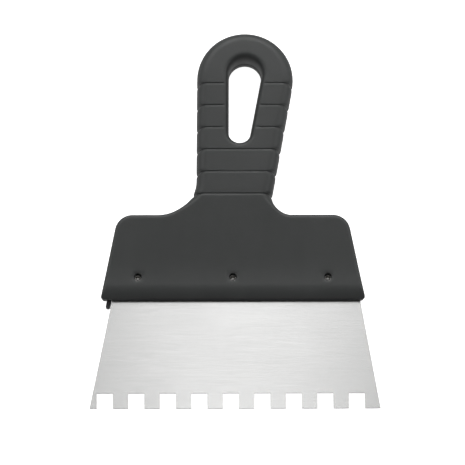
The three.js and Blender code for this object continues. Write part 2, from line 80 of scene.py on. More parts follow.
PARTING, NECK_FRONT, GRIP_FRONT = 5.5, 14.5, 16.3
LOOP_RADIUS, LOOP_CENTRE_X, LOOP_CENTRE_ABOVE_BODY = 24.9, 6.9, 73.9
GRIP_LEFT_LEAN, GRIP_RIGHT_LEAN = 0.5, 10.55
NECK_LEFT_RADIUS, NECK_RIGHT_RADIUS, NECK_RISE = 20.0, 10.0, 11.0
GROOVE_COUNT, GROOVE_PITCH, LOWEST_GROOVE_ABOVE_BODY = 6, 11.87, 10.9

HOLE_TOP_RADIUS, HOLE_TOP_X, HOLE_TOP_ABOVE_LOOP_CENTRE = 8.4, 6.95, 1.9
HOLE_LENGTH, HOLE_LEAN, HOLE_TAPER = 31.3, 5.65, 5.25
HOLE_FLARE, HOLE_BACK_EDGE = 3.0, 1.5

RIVET_SPACING, RIVET_ABOVE_LIP = 48.6, 11.4
RECESS_RADIUS, RECESS_DEPTH, BACK_RECESS_DEPTH = 1.9, 3.2, 2.7
SHANK_RADIUS, FLANGE_THICKNESS = 1.1, 0.6
FINGER_LENGTH, FINGER_THICKNESS = 3.5, 3.0

BACK_LIP_Y = LIP_Y + BACK_SETBACK
SHOULDER_Y = LIP_Y + BODY_LENGTH
LOOP_Y = SHOULDER_Y + LOOP_CENTRE_ABOVE_BODY
TANG_TOP = LIP_Y + TANG_DEPTH
RIVET_Y = LIP_Y + RIVET_ABOVE_LIP
RIVETS = {"rivet_left": -RIVET_SPACING, "rivet_middle": 0.0, "rivet_right": RIVET_SPACING}
GROOVE_YS = [SHOULDER_Y + LOWEST_GROOVE_ABOVE_BODY + i * GROOVE_PITCH for i in range(GROOVE_COUNT)]
FRONT_BOTTOM = PARTING + SEAM / 2
REAR_TOP = PARTING - SEAM / 2
BLADE_TOP = PARTING + BLADE_THICKNESS / 2
BLADE_BOTTOM = PARTING - BLADE_THICKNESS / 2
FRONT_SEAT = BODY_FRONT - RECESS_DEPTH
FACE = [(LIP_Y + BODY_LEVEL, BODY_FRONT), (SHOULDER_Y + NECK_RISE, NECK_FRONT), (LOOP_Y, GRIP_FRONT)]

# ---- finer shape that only the looks need ---------------------------------------------------------------

BODY_CORNER = 1.4                   # plan radius of the body's lower corners
FINGER_WIDTH = 2.4
HOLE_FLARE_DROP = 7.5
RIVET_BORE_RADIUS = 0.85
FACE_BLEND = 5.0                    # rounds the front face's changes of slope
LIP_REACH = 7.6                     # length of the curve down to the lip
LIP_POWER = 1.9                     # 1 is a straight slope, more curves it down towards the lip
LIP_DRAFT = 0.6                     # how far the lip's wall slants back below
GROOVE_DEPTH = 0.33                 # on the front face
NOTCH_IN_SIDE = 1.6                 # the same groove where it meets the outline
GROOVE_STEEP = 0.5                  # length of its upper flank
GROOVE_SHALLOW = 0.85               # length of its lower flank
SIDE_STEEP = 1.7                    # the same two lengths in the outline
SIDE_SHALLOW = 2.2
FLANK_POWER = 1.7                   # 1 is a straight flank, more rounds it into the face
GROOVE_FADE = (0.9, 2.9)            # from the outer edge
GROOVE_HOLE_FADE = (1.0, 2.6)       # from the finger hole's edge
EDGES = {                           # rounding as (width, drop), on the lip, the body and the grip
    "front": ((0.8, 0.8), (2.4, 1.9), (5.5, 8.0)),
    "back": ((0.7, 0.7), (1.5, 1.5), (4.0, 4.0)),
}
EDGE_SQUARENESS = 2.5               # 2 is an ellipse, more is squarer
EDGE_TURNS = (0, 5, 10, 16, 23, 31, 40, 50, 62, 76, 90)
FLARE_TURNS = (0, 8, 16, 25, 34, 44, 54, 64, 76, 90)
BACK_HOLE_TURNS = (0, 15, 30, 45, 60, 75, 90)
SEAM_ROUND, SEAM_STEP = 0.25, 0.07
RECESS_ROUND = 0.3
RIVET_RIM = 0.18                    # radius of the rolled rim round the dish of a rivet's head
DISH_FOOT = 0.03                    # how far the dish's foot lies above the head's seat
FINGER_ROOT = 2.2                   # how far the guide finger reaches into the rear shell
FINGER_EDGE = ((0.35, 0), (0.1, 0.1), (0, 0.35))         # softened edges, as (inset, depth)
BLADE_EDGE = ((0.12, 0), (0.04, 0.03), (0, 0.11))
POCKET_OPEN = 8.0                   # how far the pocket's cutter runs out past the lip
SHARP_ANGLE = 32                    # degrees between two faces from which their edge looks sharp

# ---- how finely the outlines are divided ----------------------------------------------------------------

ROUND_STEPS = 40
LIP_STEPS, CORNER_STEPS, SIDE_STEPS, SHOULDER_STEPS = 34, 8, 26, 14
LEVEL_STEPS, NECK_STEPS, LOOP_STEPS = 5, 10, 37
SIDE_BUNCHING = 1.25                # over 1 bunches the side's points towards the lip
HOLE_LOW_STEPS, HOLE_SIDE_STEPS, HOLE_HIGH_STEPS = 20, 60, 32
BODY_STEP, NECK_STEP, GRIP_STEP = 2.4, 2.0, 1.3
BODY_MARGIN, NECK_MARGIN, GRIP_MARGIN = 1.0, 0.8, 0.7  # from the face's points to its rounded edge
HOLE_MARGIN, RECESS_MARGIN = 0.5, 1.1
GROOVE_SPOTS = (-2.1, -1.7, -1.3, -0.95, -0.65, -0.4, -0.2, 0, 0.14, 0.3, 0.5, 0.75, 1.1, 1.5)
GRIP_SPACING, GROOVE_SPACING = 1.0, 0.45

ORIGIN_X = BLADE_RIGHT - blade_high.x / MM
ORIGIN_Y = -blade_low.y / MM


def place(x, y, z):
    return ((x - ORIGIN_X) * MM, (y - ORIGIN_Y) * MM, z * MM)


def lerp(a, b, t):
    return a + (b - a) * t


def smooth(x, low, high):
    t = min(1.0, max(0.0, (x - low) / (high - low)))
    return t * t * (3 - 2 * t)


# ---- meshes ---------------------------------------------------------------------------------------------

class Skin:
    """The vertices and faces of one closed mesh, in millimetres of the drawing."""

    def __init__(self):
        self.points = []
        self.faces = []

    def ring(self, points):
        start = len(self.points)
        self.points.extend(points)
        return list(range(start, len(self.points)))

    def band(self, first, second):
        for i in range(len(first)):
            j = (i + 1) % len(first)
            self.faces.append((first[i], first[j], second[j], second[i]))

    def bands(self, rings):
        for first, second in zip(rings, rings[1:]):
            self.band(first, second)

    def fill(self, outer, holes, extra):
        """Triangles between an outer loop and the loops of its holes, through extra points."""
        loops = [outer, *holes]
        index = [i for loop in loops for i in loop] + self.ring(extra)
        loop_of = [n for n, loop in enumerate(loops) for _ in loop]
        loop_of += [-1 - i for i in range(len(extra))]
        edges = []
        start = 0
        for loop in loops:
            edges += [(start + i, start + (i + 1) % len(loop)) for i in range(len(loop))]
            start += len(loop)
        flat = [Vector(self.points[i][:2]) for i in index]
        _, _, triangles, source, _, _ = delaunay_2d_cdt(flat, edges, [], 0, 1e-6)
        outline = [self.points[i] for i in outer]
        for face in triangles:
            corners = [source[v][0] for v in face]
            owners = {loop_of[c] for c in corners}
            if len(owners) == 1:
                owner = owners.pop()
                if owner > 0:
                    continue
                centre = sum((flat[c] for c in corners), Vector((0, 0))) / 3
                if not inside(centre, outline):
                    continue
            self.faces.append(tuple(index[c] for c in corners))

    def mesh(self, name, sharp=SHARP_ANGLE):
        data = bpy.data.meshes.new(name)
        data.from_pydata([place(*p) for p in self.points], [], self.faces)
        bm = bmesh.new()
        bm.from_mesh(data)
        bmesh.ops.remove_doubles(bm, verts=bm.verts, dist=1e-7)
        bmesh.ops.recalc_face_normals(bm, faces=bm.faces)
        finish_normals(bm, sharp)
        bm.to_mesh(data)
        bm.free()
        piece = bpy.data.objects.new(name, data)
        bpy.context.scene.collection.objects.link(piece)
        return piece


def inside(point, outline):
    crossings = 0
    for i, (x, y, _) in enumerate(outline):
        u, v, _ = outline[i - 1]
        if (y > point.y) != (v > point.y) and point.x < (u - x) * (point.y - y) / (v - y) + x:
            crossings += 1
    return crossings % 2 == 1


def finish_normals(bm, sharp):
    for face in bm.faces:
        face.smooth = True
    for edge in bm.edges:
        edge.smooth = len(edge.link_faces) == 2 and edge.calc_face_angle(0) < math.radians(sharp)


def combine(piece, cutter, operation):
    """A boolean applied to the piece's mesh. The cutter is removed."""
    step = piece.modifiers.new(operation.lower(), "BOOLEAN")
    step.operation = operation
    step.solver = "EXACT"
    step.object = cutter
    graph = bpy.context.evaluated_depsgraph_get()
    made = bpy.data.meshes.new_from_object(piece.evaluated_get(graph))
    piece.modifiers.clear()
    old = piece.data
    piece.data = made
    bpy.data.meshes.remove(old)
    made.name = piece.name
    bpy.data.objects.remove(cutter)
    bm = bmesh.new()
    bm.from_mesh(made)
    bmesh.ops.dissolve_degenerate(bm, edges=bm.edges, dist=1e-7)
    finish_normals(bm, SHARP_ANGLE)
    bm.to_mesh(made)
    bm.free()


# ---- outline of the handle ------------------------------------------------------------------------------

BODY_TAN = math.tan(math.radians(BODY_LEAN))
BODY_COS = math.cos(math.radians(BODY_LEAN))
LEFT = (-1, math.radians(GRIP_LEFT_LEAN), NECK_LEFT_RADIUS)
RIGHT = (1, math.radians(GRIP_RIGHT_LEAN), NECK_RIGHT_RADIUS)


def body_x(sign, y, inset):
    return sign * (BODY_HALF_WIDTH - (y - LIP_Y) * BODY_TAN - inset / BODY_COS)


def neck_centre_x(side):
    sign, lean, neck = side
    along = (SHOULDER_Y + neck - LOOP_Y) * math.tan(lean)
    return LOOP_CENTRE_X + along + sign * (LOOP_RADIUS + neck) / math.cos(lean)


def grip_x(side, y, inset):
    """X of the grip's side at a height Y: hollow neck curve, straight side, then the loop."""
    sign, lean, neck = side
    neck_y = SHOULDER_Y + neck
    if y < neck_y + sign * (neck + inset) * math.sin(lean):
        return neck_centre_x(side) - sign * math.sqrt((neck + inset) ** 2 - (y - neck_y) ** 2)
    if y > LOOP_Y - sign * (LOOP_RADIUS - inset) * math.sin(lean):
        return LOOP_CENTRE_X + sign * math.sqrt(max(0.0, (LOOP_RADIUS - inset) ** 2 - (y - LOOP_Y) ** 2))
    return LOOP_CENTRE_X + sign * (LOOP_RADIUS - inset) / math.cos(lean) + (y - LOOP_Y) * math.tan(lean)


def flank(y, steep, shallow):
    """How deep a groove is at Y, from 0 to 1: two convex flanks that meet in a sharp bottom."""
    deepest = 0.0
    for groove in GROOVE_YS:
        reach = abs(y - groove) / (steep if y > groove else shallow)
        if reach < 1:
            deepest = max(deepest, (1 - reach) ** FLANK_POWER)
    return deepest


def stations(low, high):
    """Heights Y between two limits, close together in the grooves."""
    found = []
    for groove in GROOVE_YS:
        found += [groove + spot for spot in GROOVE_SPOTS]
    y = low
    while y < high:
        if all(abs(y - f) > GROOVE_SPACING for f in found):
            found.append(y)
        y += GRIP_SPACING
    return sorted(f for f in found if low <= f <= high)


GRIP_STATIONS = stations(SHOULDER_Y + 2, LOOP_Y)


def chain(side, lip_y, inset, notch):
    """One side of the outline from the middle of the lip to the top of the loop, as (x, y, edge) points. The
    edge is 0 on the lip, 1 on the body and 2 on the grip, and inset(edge) is how far a point is drawn in."""
    sign, _, neck = side
    lean = math.radians(BODY_LEAN)
    points = []
    corner = BODY_CORNER - inset(0)
    corner_y = lip_y + BODY_CORNER
    corner_x = abs(body_x(1, corner_y, inset(0) + corner))
    for i in range(LIP_STEPS):
        points.append((sign * corner_x * (i + 0.5) / LIP_STEPS, lip_y + inset(0), 0))
    for i in range(CORNER_STEPS + 1):
        angle = lerp(-math.pi / 2, lean, i / CORNER_STEPS)
        points.append((sign * (corner_x + corner * math.cos(angle)), corner_y + corner * math.sin(angle), 0))
    low, high = corner_y + 0.8, SHOULDER_Y - SHOULDER_CORNER
    for i in range(SIDE_STEPS):
        y = lerp(low, high, (i / SIDE_STEPS) ** SIDE_BUNCHING)
        edge = smooth(y, lip_y + BODY_CORNER, lip_y + 8)
        points.append((body_x(sign, y, inset(edge)), y, edge))
    radius = SHOULDER_CORNER - inset(1)
    centre_x = abs(body_x(1, high, inset(1) + radius))
    for i in range(SHOULDER_STEPS + 1):
        angle = lerp(lean, math.pi / 2, i / SHOULDER_STEPS)
        points.append((sign * (centre_x + radius * math.cos(angle)), high + radius * math.sin(angle), 1))
    neck_x = abs(neck_centre_x(side))
    for i in range(1, LEVEL_STEPS):
        points.append((sign * lerp(centre_x, neck_x, i / LEVEL_STEPS), SHOULDER_Y - inset(1), 1))
    bend = neck + inset(1)
    last = math.asin((SHOULDER_Y + neck - GRIP_STATIONS[0]) / bend)
    for i in range(NECK_STEPS):
        angle = lerp(math.pi / 2, last, i / NECK_STEPS)
        x = neck_centre_x(side) - sign * bend * math.cos(angle)
        points.append((x, SHOULDER_Y + neck - bend * math.sin(angle), 1))
    for y in GRIP_STATIONS:
        edge = 1 + smooth(y, GRIP_STATIONS[0], SHOULDER_Y + NECK_RISE)
        inward = inset(edge) + notch * NOTCH_IN_SIDE * flank(y, SIDE_STEEP, SIDE_SHALLOW)
        points.append((grip_x(side, y, inward), y, edge))
    radius = LOOP_RADIUS - inset(2)
    for i in range(1, LOOP_STEPS):
        angle = math.pi / 2 * i / LOOP_STEPS
        x = LOOP_CENTRE_X + sign * radius * math.cos(angle)
        points.append((x, LOOP_Y + radius * math.sin(angle), 2))
    return points


def by_edge(values, edge):
    low = int(min(edge, 1))
    return lerp(values[low], values[low + 1], edge - low)


def outline(lip_y, rounding, turn, height, notch=1.0, extra=0.0):
    """A ring round the handle. The turn goes from 0 degrees, on the upright side, to 90, on the face."""
    out = math.cos(math.radians(turn))
    widths = [width for width, _ in rounding]

    def inset(edge):
        return by_edge(widths, edge) * (1 - out) + extra

    right = chain(RIGHT, lip_y, inset, notch * out)
    left = chain(LEFT, lip_y, inset, notch * out)
    return [(x, y, height(y, edge, inset(edge))) for x, y, edge in [*right, *reversed(left)]]


def wall(top, z, share):
    """Heights of a ring part of the way down from top(y, edge, inset) on the outline to a height Z."""
    return lambda y, edge, _: lerp(top(y, edge, 0), z, share)


def profile_height(y):
    """The front face along Y, without the slope to the lip, as straight stretches."""
    for (low, low_height), (high, high_height) in zip(FACE, FACE[1:]):
        if y <= high:
            return lerp(low_height, high_height, max(0.0, (y - low) / (high - low)))
    return GRIP_FRONT


def front_height(y, fade):
    """Height of the front face, before its edges are rounded."""
    spots = [y + FACE_BLEND * share / 4 for share in range(-4, 5)]
    height = sum(profile_height(spot) for spot in spots) / len(spots)
    lip = max(0.0, 1 - (y - LIP_Y) / LIP_REACH)
    height -= (BODY_FRONT - LIP_FRONT) * lip ** LIP_POWER
    return height - GROOVE_DEPTH * flank(y, GROOVE_STEEP, GROOVE_SHALLOW) * fade


def edge_drop(inset, width, drop):
    """How far a rounding of a width and a drop lies below the face, at an inset from the outline."""
    out = min(1.0, max(0.0, 1 - inset / width))
    return drop * (1 - (1 - out ** EDGE_SQUARENESS) ** (1 / EDGE_SQUARENESS))


def rounding_drop(rounding, edge, inset):
    """The same for the rounding of one kind of edge."""
    width = by_edge([width for width, _ in rounding], edge)
    drop = by_edge([drop for _, drop in rounding], edge)
    return edge_drop(inset, width, drop)


# ---- finger hole ----------------------------------------------------------------------------------------

HOLE_TOP = Vector((HOLE_TOP_X, LOOP_Y + HOLE_TOP_ABOVE_LOOP_CENTRE))
HOLE_AXIS = Vector((math.sin(math.radians(HOLE_LEAN)), math.cos(math.radians(HOLE_LEAN))))
HOLE_BOTTOM = HOLE_TOP - HOLE_AXIS * HOLE_LENGTH
HOLE_BOTTOM_RADIUS = HOLE_TOP_RADIUS - HOLE_LENGTH * math.sin(math.radians(HOLE_TAPER))


def hole_distance(x, y):
    """Distance from a point to the finger hole's edge, in plan."""
    spot = Vector((x, y)) - HOLE_BOTTOM
    along = spot.dot(HOLE_AXIS)
    across = abs(spot.x * HOLE_AXIS.y - spot.y * HOLE_AXIS.x)
    slope = (HOLE_BOTTOM_RADIUS - HOLE_TOP_RADIUS) / HOLE_LENGTH
    flat = math.sqrt(1 - slope * slope)
    reach = -slope * across + flat * along
    if reach < 0:
        return math.hypot(across, along) - HOLE_BOTTOM_RADIUS
    if reach > flat * HOLE_LENGTH:
        return math.hypot(across, along - HOLE_LENGTH) - HOLE_TOP_RADIUS
    return flat * across + slope * along - HOLE_BOTTOM_RADIUS


def hole_ring(offset, height):
    """A ring round the finger hole at an offset from its edge."""
    points = []
    taper, lean = math.radians(HOLE_TAPER), math.radians(HOLE_LEAN)
    for sign in (1, -1):
        turn = -(taper + sign * lean)
        side = []

        def bottom(angle):
            out = Vector((sign * math.cos(angle), math.sin(angle)))
            return HOLE_BOTTOM + out * (HOLE_BOTTOM_RADIUS + offset)

        def top(angle):
            out = Vector((sign * math.cos(angle), math.sin(angle)))
            return HOLE_TOP + out * (HOLE_TOP_RADIUS + offset)

        for i in range(HOLE_LOW_STEPS):
            side.append(bottom(lerp(-math.pi / 2, turn, (i + 0.5) / (HOLE_LOW_STEPS - 0.5))))
        for i in range(1, HOLE_SIDE_STEPS):
            side.append(bottom(turn).lerp(top(turn), i / HOLE_SIDE_STEPS))
        for i in range(HOLE_HIGH_STEPS):
            side.append(top(lerp(turn, math.pi / 2, i / (HOLE_HIGH_STEPS - 0.5))))
        points += side if sign == 1 else list(reversed(side))
    return [(x, y, height(x, y)) for x, y in points]


def circle(x, y, radius, z):
    angles = [2 * math.pi * i / ROUND_STEPS for i in range(ROUND_STEPS)]
    return [(x + radius * math.cos(angle), y + radius * math.sin(angle), z) for angle in angles]


def softened(first, last, edge):
    """Insets and heights of the rings between two faces, with the same softened edge at both."""
    way = math.copysign(1, last - first)
    near = [(inset, first + way * depth) for inset, depth in edge]
    return near + [(inset, last - way * depth) for inset, depth in reversed(edge)]


# ---- shells ---------------------------------------------------------------------------------------------

def face_rows():
    """Heights Y of the rows of points over the front face."""
    ys = [LIP_Y + 1.3 + 0.5 * i for i in range(15)]
    ys += [lerp(LIP_Y + 9.5, SHOULDER_Y - 3.2, i / 11) for i in range(12)]
    ys += [SHOULDER_Y - 1.6 + 0.9 * i for i in range(4)]
    ys += GRIP_STATIONS
    ys += [LOOP_Y + 1.2 * i for i in range(1, 17)]
    last = LOOP_Y + LOOP_RADIUS - EDGES["front"][2][0] - 1.5
    return sorted({round(y, 4) for y in ys if y <= last})


def face_row(y, margin):
    """The ends in X of a row of points over the front face, and the step along it. The margin(edge) is the
    width of the rounding that the points stay clear of."""
    shoulder = SHOULDER_Y - SHOULDER_CORNER
    if y < SHOULDER_Y - margin(1) - 0.6:
        inset = margin(1) + BODY_MARGIN
        if y <= shoulder:
            return body_x(-1, y, inset), body_x(1, y, inset), BODY_STEP
        inner = SHOULDER_CORNER - inset
        reach = math.sqrt(max(0.0, inner * inner - (y - shoulder) ** 2))
        centre = abs(body_x(1, shoulder, SHOULDER_CORNER))
        return -centre - reach, centre + reach, BODY_STEP
    if y < SHOULDER_Y + 2:
        ends = []
        for side in (LEFT, RIGHT):
            sign, _, neck = side
            clear = neck + margin(1) + NECK_MARGIN
            across = math.sqrt(max(0.0, clear ** 2 - (y - SHOULDER_Y - neck) ** 2))
            ends.append(neck_centre_x(side) - sign * across)
        return *ends, NECK_STEP
    edge = 1 + smooth(y, GRIP_STATIONS[0], SHOULDER_Y + NECK_RISE)
    inset = margin(edge) + GRIP_MARGIN
    return grip_x(LEFT, y, inset), grip_x(RIGHT, y, inset), GRIP_STEP


def face_points():
    """Points over the front face, inside its rounded edges and outside its holes."""
    widths = [width for width, _ in EDGES["front"]]
    found = []
    for y in face_rows():
        low, high, step = face_row(y, lambda edge: by_edge(widths, edge))
        count = max(1, int((high - low) / step))
        for i in range(count + 1):
            x = lerp(low, high, i / count)
            if hole_distance(x, y) < HOLE_FLARE + HOLE_MARGIN:
                continue
            if any(math.hypot(x - r, y - RIVET_Y) < RECESS_RADIUS + RECESS_MARGIN for r in RIVETS.values()):
                continue
            found.append((x, y, front_height(y, 1)))
    return found


def rivet_recesses(skin, face, inward, seat, end):
    """The three stepped holes from a shell's face to its other side. Inward is that way's sign in Z."""
    steps = [
        (RECESS_RADIUS + RECESS_ROUND, face),
        (RECESS_RADIUS + 0.3 * RECESS_ROUND, face + inward * 0.3 * RECESS_ROUND),
        (RECESS_RADIUS, face + inward * RECESS_ROUND),
        (RECESS_RADIUS, seat),
        (SHANK_RADIUS + GAP, seat),
        (SHANK_RADIUS + GAP, end),
    ]
    recesses = []
    for x in RIVETS.values():
        recess = [skin.ring(circle(x, RIVET_Y, radius, z)) for radius, z in steps]
        skin.bands(recess)
        recesses.append(recess)
    return recesses


def make_front_shell():
    skin = Skin()
    rounding = EDGES["front"]

    def rounded(y, edge, inset):
        return front_height(y, smooth(inset, *GROOVE_FADE)) - rounding_drop(rounding, edge, inset)

    low = FRONT_BOTTOM + SEAM_ROUND
    rings = [skin.ring(outline(LIP_Y, rounding, turn, rounded)) for turn in reversed(EDGE_TURNS)]
    for share in (0.4, 0.8, 1):
        rings.append(skin.ring(outline(LIP_Y + LIP_DRAFT * share, rounding, 0, wall(rounded, low, share))))
    for rise, extra in ((SEAM_STEP, SEAM_STEP), (0, SEAM_ROUND)):
        z = FRONT_BOTTOM + rise
        rings.append(skin.ring(outline(LIP_Y + LIP_DRAFT, rounding, 0, lambda *_, z=z: z, extra=extra)))
    skin.bands(rings)

    def flared(offset):
        fade = smooth(offset, *GROOVE_HOLE_FADE)
        return lambda _, y: front_height(y, fade) - edge_drop(offset, HOLE_FLARE, HOLE_FLARE_DROP)

    offsets = [HOLE_FLARE * (1 - math.cos(math.radians(turn))) for turn in reversed(FLARE_TURNS)]
    hole = [skin.ring(hole_ring(offset, flared(offset))) for offset in offsets]
    hole.append(skin.ring(hole_ring(0.05, lambda *_: FRONT_BOTTOM + 0.1)))
    hole.append(skin.ring(hole_ring(0.2, lambda *_: FRONT_BOTTOM)))
    skin.bands(hole)

    recesses = rivet_recesses(skin, BODY_FRONT, -1, FRONT_SEAT, FRONT_BOTTOM)
    skin.fill(rings[0], [hole[0], *[r[0] for r in recesses]], face_points())
    skin.fill(rings[-1], [hole[-1], *[r[-1] for r in recesses]], [])
    piece = skin.mesh("front_shell_moulding")
    combine(piece, tang_pocket(), "DIFFERENCE")
    return piece


def make_rear_shell():
    skin = Skin()
    rounding = EDGES["back"]

    def rounded(_, edge, inset):
        return rounding_drop(rounding, edge, inset)

    high = REAR_TOP - SEAM_ROUND
    rings = [skin.ring(outline(BACK_LIP_Y, rounding, turn, rounded)) for turn in reversed(EDGE_TURNS)]
    for share in (0.6, 1):
        rings.append(skin.ring(outline(BACK_LIP_Y, rounding, 0, wall(rounded, high, share))))
    for depth, extra in ((SEAM_STEP, SEAM_STEP), (0, SEAM_ROUND)):
        z = REAR_TOP - depth
        rings.append(skin.ring(outline(BACK_LIP_Y, rounding, 0, lambda *_, z=z: z, extra=extra)))
    skin.bands(rings)

    hole = []
    for turn in reversed(BACK_HOLE_TURNS):
        offset = HOLE_BACK_EDGE * (1 - math.cos(math.radians(turn)))
        z = HOLE_BACK_EDGE * (1 - math.sin(math.radians(turn)))
        hole.append(skin.ring(hole_ring(offset, lambda *_, z=z: z)))
    hole.append(skin.ring(hole_ring(0.0, lambda *_: REAR_TOP - 0.2)))
    hole.append(skin.ring(hole_ring(0.06, lambda *_: REAR_TOP - 0.06)))
    hole.append(skin.ring(hole_ring(0.2, lambda *_: REAR_TOP)))
    skin.bands(hole)

    recesses = rivet_recesses(skin, 0, 1, BACK_RECESS_DEPTH, REAR_TOP)
    skin.fill(rings[0], [hole[0], *[r[0] for r in recesses]], [])
    skin.fill(rings[-1], [hole[-1], *[r[-1] for r in recesses]], [])
    piece = skin.mesh("rear_shell_moulding")
    combine(piece, guide_finger(), "UNION")
    combine(piece, tang_pocket(), "DIFFERENCE")
    return piece


def blade_edge(sign, y):
    tip, lean = (BLADE_LEFT, BLADE_LEFT_LEAN) if sign < 0 else (BLADE_RIGHT, BLADE_RIGHT_LEAN)
    return tip - y * math.tan(math.radians(lean))


def guide_finger():
    """The small rounded finger that keeps the blade's left edge in place."""
    skin = Skin()
    top, end = BACK_LIP_Y + FINGER_ROOT, LIP_Y - FINGER_LENGTH
    radius = FINGER_WIDTH / 2 - 0.05

    def ring(inset, z):
        centre_y = end + radius
        right = [(-blade_edge(-1, y) - GAP - inset, y) for y in (top, lerp(top, centre_y, 0.5), centre_y)]
        left = [(x - FINGER_WIDTH + 2 * inset, y) for x, y in right]
        centre_x = (right[-1][0] + left[-1][0]) / 2
        bend = (right[-1][0] - left[-1][0]) / 2
        turns = [-math.pi * i / 12 for i in range(1, 12)]
        tip = [(centre_x + bend * math.cos(turn), centre_y + bend * math.sin(turn)) for turn in turns]
        return [(x, y, z) for x, y in [*right, *tip, *reversed(left)]]

    steps = softened(REAR_TOP - FINGER_THICKNESS, REAR_TOP, FINGER_EDGE)
    rings = [skin.ring(ring(inset, z)) for inset, z in steps]
    skin.bands(rings)
    skin.faces.append(tuple(rings[0]))
    skin.faces.append(tuple(rings[-1]))
    return skin.mesh("guide_finger")


def tang_outline(margin):
    """The tang with a margin round it, drawn on past the lip."""
    half = TANG_HALF_WIDTH + margin
    top, neck_top = TANG_TOP + margin, LIP_Y + TANG_NECK + margin
    sides = []
    for sign in (1, -1):
        side = [(sign * (blade_edge(sign, y) + margin), y) for y in (LIP_Y - POCKET_OPEN, neck_top)]
        side += [(sign * half, neck_top), (sign * half, top - TANG_CHAMFER)]
        side.append((sign * (half - TANG_CHAMFER), top))
        sides.append(side)
    return sides[0] + list(reversed(sides[1]))


def tang_pocket():
    skin = Skin()
    low = skin.ring([(x, y, BLADE_BOTTOM - GAP) for x, y in tang_outline(GAP)])
    high = skin.ring([(x, y, BLADE_TOP + GAP) for x, y in tang_outline(GAP)])
    skin.band(low, high)
    skin.faces.append(tuple(low))
    skin.faces.append(tuple(high))
    return skin.mesh("pocket")


# ---- blade ----------------------------------------------------------------------------------------------

def blade_outline():
    """Corners of the blade, counter-clockwise, starting at the left tip."""
    neck_top = LIP_Y + TANG_NECK
    points = [(-blade_edge(-1, 0), 0)]
    for i in range(NOTCH_COUNT):
        middle = NOTCH_MIDDLE + (i - (NOTCH_COUNT - 1) / 2) * NOTCH_PITCH
        low, high = middle - NOTCH_WIDTH / 2, middle + NOTCH_WIDTH / 2
        points += [(low, 0), (low, NOTCH_DEPTH), (high, NOTCH_DEPTH), (high, 0)]
    points += [(blade_edge(1, y), y) for y in (0, neck_top)]
    half, slant = TANG_HALF_WIDTH, TANG_HALF_WIDTH - TANG_CHAMFER
    points += [(half, neck_top), (half, TANG_TOP - TANG_CHAMFER), (slant, TANG_TOP)]
    points += [(-slant, TANG_TOP), (-half, TANG_TOP - TANG_CHAMFER), (-half, neck_top)]
    points.append((-blade_edge(-1, neck_top), neck_top))
    return [Vector(p) for p in points]


def drawn_in(points, inset):
    """A counter-clockwise outline moved inwards by an inset, with mitred corners."""
    moved = []
    for i, point in enumerate(points):
        before = (point - points[i - 1]).normalized()
        after = (points[(i + 1) % len(points)] - point).normalized()
        first, second = Vector((-before.y, before.x)), Vector((-after.y, after.x))
        moved.append(point + (first + second) * (inset / (1 + first.dot(second))))
    return moved


def make_blade():
    skin = Skin()
    corners = blade_outline()
    steps = softened(BLADE_TOP, BLADE_BOTTOM, BLADE_EDGE)
    rings = [skin.ring([(p.x, p.y, z) for p in drawn_in(corners, inset)]) for inset, z in steps]
    skin.bands(rings)
    holes = []
    for x in RIVETS.values():
        radius = SHANK_RADIUS + GAP
        hole = [skin.ring(circle(x, RIVET_Y, radius + inset, z)) for inset, z in steps]
        skin.bands(hole)
        holes.append(hole)
    skin.fill(rings[0], [h[0] for h in holes], [])
    skin.fill(rings[-1], [h[-1] for h in holes], [])
    return skin.mesh("blade_sheet", sharp=20)


# ---- rivets ---------------------------------------------------------------------------------------------

def make_rivet(name, x):
    """A tubular rivet, set: a rolled head, a shank with a bore, and a rolled end."""
    skin = Skin()
    flange = RECESS_RADIUS - GAP
    head_low, tail_high = FRONT_SEAT + GAP, BACK_RECESS_DEPTH - GAP
    crest = flange - RIVET_RIM
    rim = [(RIVET_BORE_RADIUS, DISH_FOOT)]
    for i in range(-3, 9):
        angle = math.radians(90 - 90 * i / 8)
        rise = FLANGE_THICKNESS - RIVET_RIM * (1 - math.sin(angle))
        rim.append((crest + RIVET_RIM * math.cos(angle), rise))
    under = [(flange - 0.05, 0.05), (SHANK_RADIUS + 0.1, 0), (SHANK_RADIUS, -0.1)]
    head = [(radius, head_low + rise) for radius, rise in [*rim, *under]]
    tail = [(radius, tail_high - rise) for radius, rise in [*rim, *under]]
    profile = [*head, *reversed(tail)]
    rings = [skin.ring(circle(x, RIVET_Y, radius, z)) for radius, z in profile]
    skin.bands([*rings, rings[0]])
    return skin.mesh(name + "_tube", sharp=50)


# ---- materials ------------------------------------------------------------------------------------------

